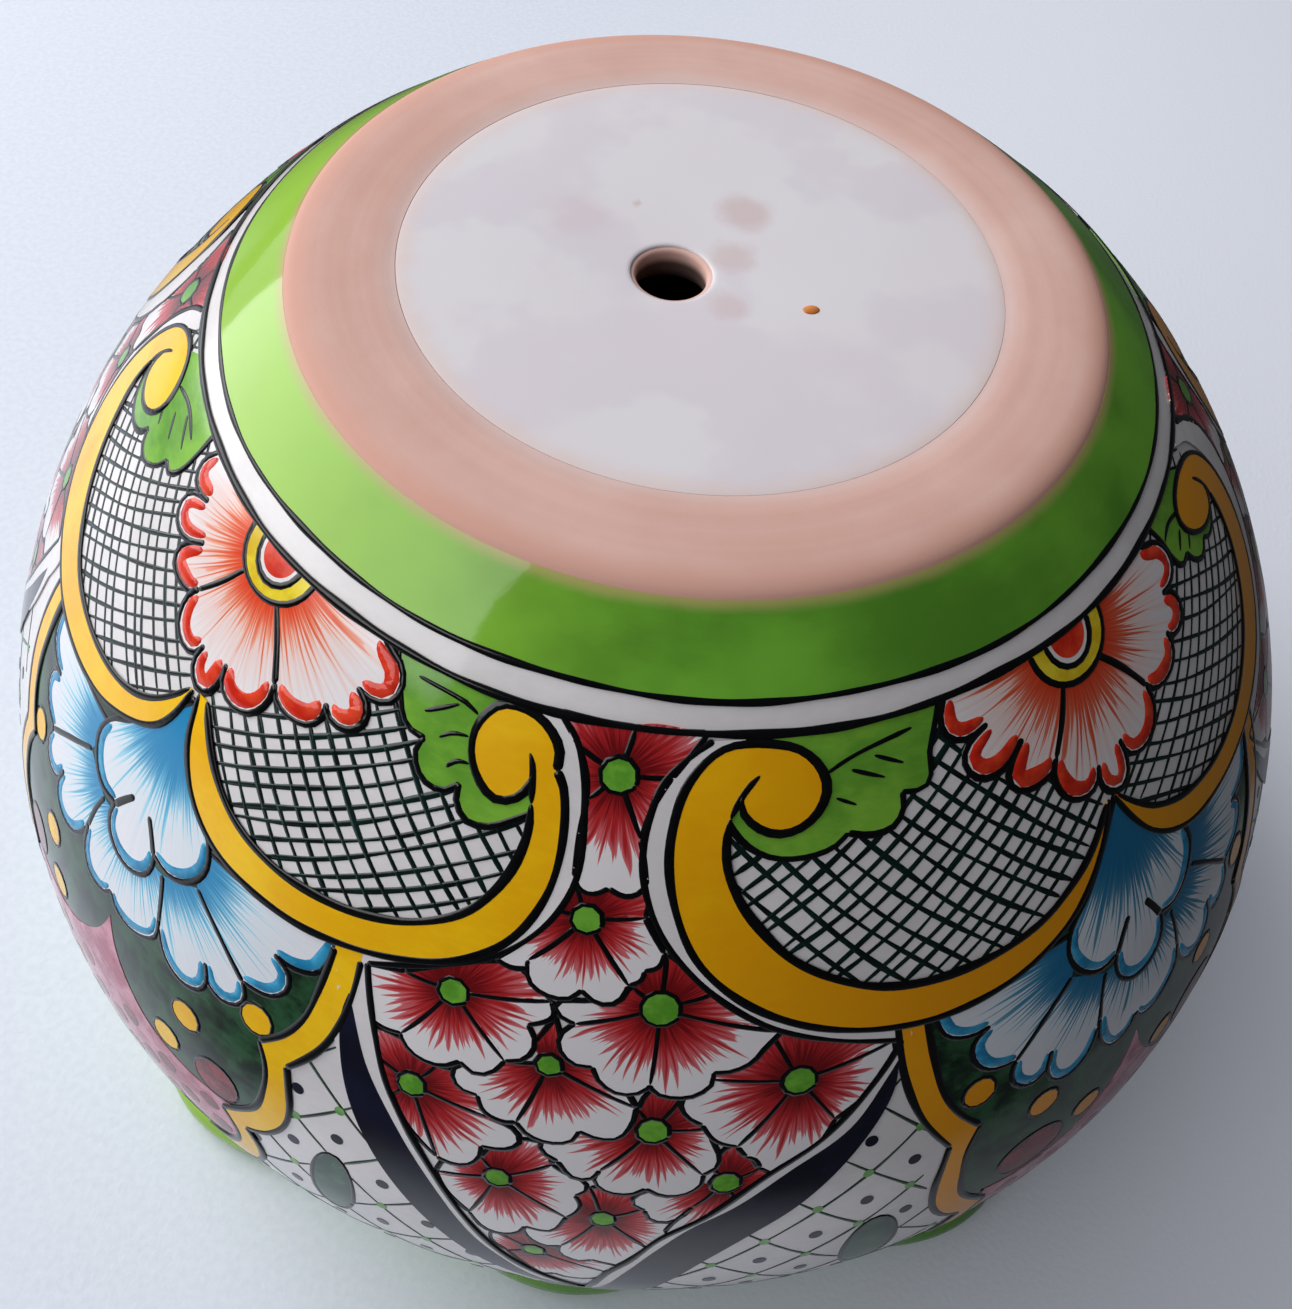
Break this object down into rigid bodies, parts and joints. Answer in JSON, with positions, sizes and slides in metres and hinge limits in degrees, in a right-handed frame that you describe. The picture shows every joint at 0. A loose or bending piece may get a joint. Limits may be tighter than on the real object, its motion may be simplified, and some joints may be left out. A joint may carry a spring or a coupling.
{
  "type": "planter pot",
  "caption": "Round hand-painted glazed earthenware planter pot with a ruffled rim and a drain hole, standing on its mouth with its base up.",
  "frame": {"origin": "centre of the mouth, on the plane that the rim rests on; the pot stands mouth down, as in the picture, and is turned over for planting", "axes": "+Z is the turning axis, from the mouth up to the base; the picture's front faces -Y"},
  "size_m": [0.42, 0.42, 0.3],
  "materials": {
    "terracotta": "matt fired clay",
    "bisque": "wiped matt bisque",
    "base_glaze": "thin milky glaze, satin",
    "white_glaze": "glossy white glaze",
    "green_glaze": "glossy leaf green glaze",
    "yellow_glaze": "glossy raised yellow glaze",
    "coral_glaze": "glossy coral glaze in fine streaks",
    "crimson_glaze": "glossy crimson glaze in fine streaks",
    "blue_glaze": "glossy blue glaze in fine streaks",
    "dark_green_glaze": "glossy mottled dark green glaze",
    "navy_glaze": "glossy navy glaze",
    "line_glaze": "glossy black brush line"
  },
  "bodies": {
    "root": {"floor_slab": "terracotta", "foot_ring": "bisque", "wall_base_half": "terracotta", "wall_mouth_half": "terracotta", "rim_ruffle": "green_glaze", "base_glaze": "base_glaze", "foot_band_glaze": "green_glaze", "wall_glaze": "white_glaze"}
  },
  "joints": []
}
